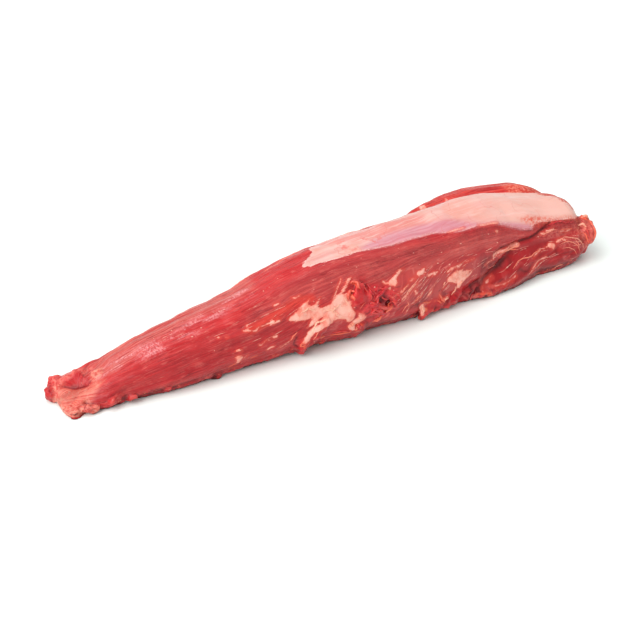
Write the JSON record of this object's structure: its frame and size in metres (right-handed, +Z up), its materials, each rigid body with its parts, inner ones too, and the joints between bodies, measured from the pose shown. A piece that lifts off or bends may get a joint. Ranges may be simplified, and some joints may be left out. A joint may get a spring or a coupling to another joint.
{
  "type": "beef tenderloin",
  "caption": "Whole raw beef tenderloin: a long tapering muscle with a flat cut tail, a thick lobed butt with a side muscle behind it, and ragged trimmings below.",
  "frame": {"origin": "middle of the bounding box's footprint, on the surface the meat lies on", "axes": "+X along the length from the thin tail to the thick butt, +Y towards the back where the side muscle lies, +Z up"},
  "size_m": [0.5606, 0.1342, 0.0752],
  "materials": {
    "meat": "wet raw beef: deep red muscle with fine lengthwise fibres, pale silverskin along the top, cream fat patches, semi-gloss"
  },
  "bodies": {
    "root": {"tenderloin": "meat"}
  },
  "joints": []
}
